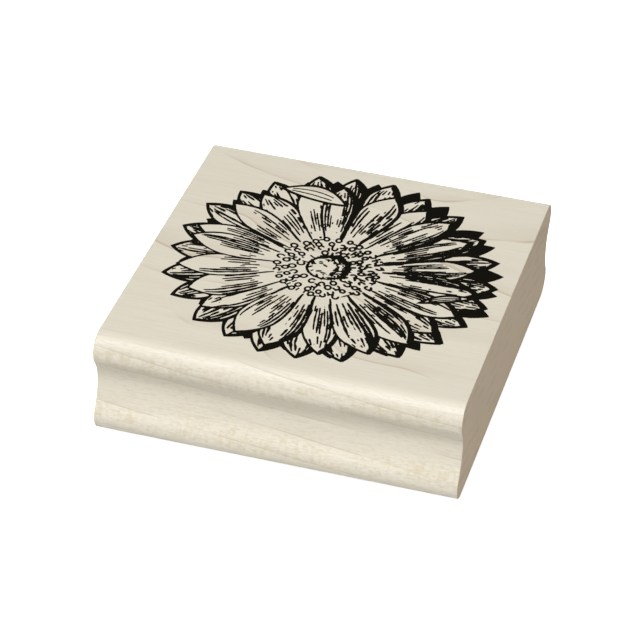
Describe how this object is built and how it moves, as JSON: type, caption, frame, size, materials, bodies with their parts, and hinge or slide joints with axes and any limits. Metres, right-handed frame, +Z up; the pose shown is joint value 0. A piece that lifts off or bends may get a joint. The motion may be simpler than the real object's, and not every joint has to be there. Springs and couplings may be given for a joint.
{
  "type": "wood-mounted rubber stamp",
  "caption": "Hand stamp: moulded maple block with a flower printed on top and a cushioned rubber relief die glued underneath.",
  "frame": {"origin": "centre of the footprint, on the plane that the die's relief rests on", "axes": "+Z up out of the printed top face, +X along the wood grain between the two sawn ends, the moulded grips face -Y and +Y"},
  "size_m": [0.0826, 0.0888, 0.0293],
  "materials": {
    "maple": "sanded bare maple, creamy white, fine grain along X with faint growth lines",
    "ink": "black printing ink, thin and matt",
    "adhesive_film": "thin translucent double-sided film",
    "foam": "pale grey closed-cell foam, matt",
    "rubber": "brick-red engraved rubber, matt"
  },
  "bodies": {
    "block": {"wood_block": "maple", "index_print": "ink", "mounting_adhesive": "adhesive_film", "foam_cushion": "foam"},
    "die": {"die_adhesive": "adhesive_film", "rubber_die": "rubber"}
  },
  "joints": [
    {"name": "cushion_press", "type": "slide", "parent": "block", "child": "die", "axis": [0, 0, 1], "range_m": [0, 0.0006], "stiffness_N_per_m": 50000, "deforming": ["foam_cushion"]}
  ]
}
